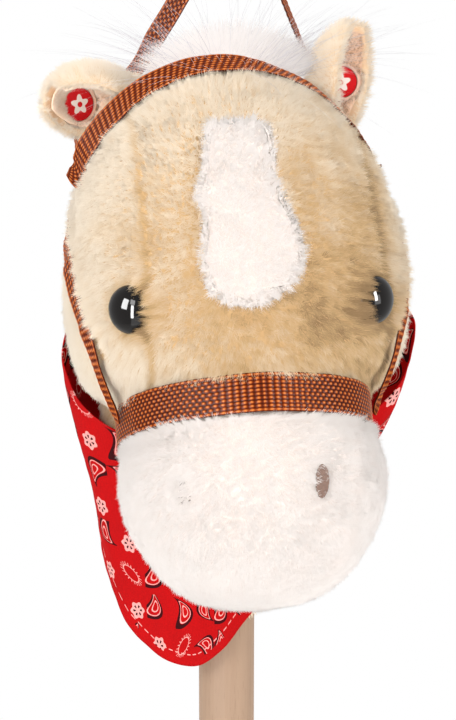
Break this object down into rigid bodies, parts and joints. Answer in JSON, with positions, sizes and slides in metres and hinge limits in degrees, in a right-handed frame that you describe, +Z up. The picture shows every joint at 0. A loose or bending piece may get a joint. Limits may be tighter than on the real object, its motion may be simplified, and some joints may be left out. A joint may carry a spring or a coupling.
{
  "type": "hobby horse",
  "caption": "Stuffed plush horse head with webbing bridle, neck scarf and press patches in the ears, on a round wooden stick for a child to straddle.",
  "frame": {"origin": "centre of the foot cap's flat base", "axes": "+Z up along the stick, the horse faces -Y, and +X is the horse's left side"},
  "size_m": [0.1664, 0.1764, 1.0097],
  "materials": {
    "tan_plush": "short cut-pile plush, pale tan",
    "white_plush": "short cut-pile plush, off-white",
    "ear_cloth": "very short pile, pinkish tan",
    "red_cloth": "plain-woven printed cotton, red",
    "brown_webbing": "woven polypropylene webbing, brown",
    "white_hair": "long-pile plush, white",
    "polyester_filling": "loose polyester fibre fill",
    "wood": "sanded bare beech",
    "rubber": "matt black moulded rubber",
    "black_gloss": "polished black",
    "white_plastic": "as moulded",
    "brown_thread": "satin-stitched thread",
    "steel": "plated",
    "green_board": "solder-resist green"
  },
  "bodies": {
    "toy": {"blaze_panel": "white_plush", "browband": "brown_webbing", "button_cells": "steel", "cell_contact_left": "steel", "cell_contact_right": "steel", "circuit_board": "green_board", "ear_left": "tan_plush", "ear_lining_left": "ear_cloth", "ear_lining_right": "ear_cloth", "ear_right": "tan_plush", "ear_switch_case_left": "white_plastic", "ear_switch_case_right": "white_plastic", "eye_left": "black_gloss", "eye_right": "black_gloss", "eye_washer_left": "white_plastic", "eye_washer_right": "white_plastic", "foot_cap": "rubber", "forelock": "white_hair", "head_cover": "tan_plush", "head_stuffing": "polyester_filling", "mane": "white_hair", "muzzle_cover": "white_plush", "neck_cable_tie": "white_plastic", "neck_cover": "tan_plush", "neck_scarf": "red_cloth", "neck_stuffing": "polyester_filling", "noseband": "brown_webbing", "nostril_left": "brown_thread", "nostril_right": "brown_thread", "rein_cheek_left": "brown_webbing", "rein_cheek_right": "brown_webbing", "scarf_knot": "red_cloth", "sound_case": "white_plastic", "sound_case_cover": "white_plastic", "sound_case_screw_left": "steel", "sound_case_screw_right": "steel", "speaker": "steel", "stick": "wood", "stick_top_disc": "white_plastic", "stick_top_screw": "steel"},
    "reins": {"rein_loop": "brown_webbing"},
    "ear_button_right": {"ear_patch_right": "red_cloth", "ear_plunger_right": "white_plastic"},
    "ear_button_left": {"ear_patch_left": "red_cloth", "ear_plunger_left": "white_plastic"}
  },
  "joints": [
    {"name": "rein_swing", "type": "hinge", "parent": "toy", "child": "reins", "pos_m": [0, 0.032, 0.8873], "axis": [-1, 0, 0], "range_deg": [0, 95]},
    {"name": "ear_press_right", "type": "slide", "parent": "toy", "child": "ear_button_right", "axis": [-0.4606, 0.8792, -0.1223], "range_m": [0, 0.0015], "stiffness_N_per_m": 400},
    {"name": "ear_press_left", "type": "slide", "parent": "toy", "child": "ear_button_left", "axis": [0.091, 0.9938, 0.0643], "range_m": [0, 0.0015], "stiffness_N_per_m": 400}
  ]
}
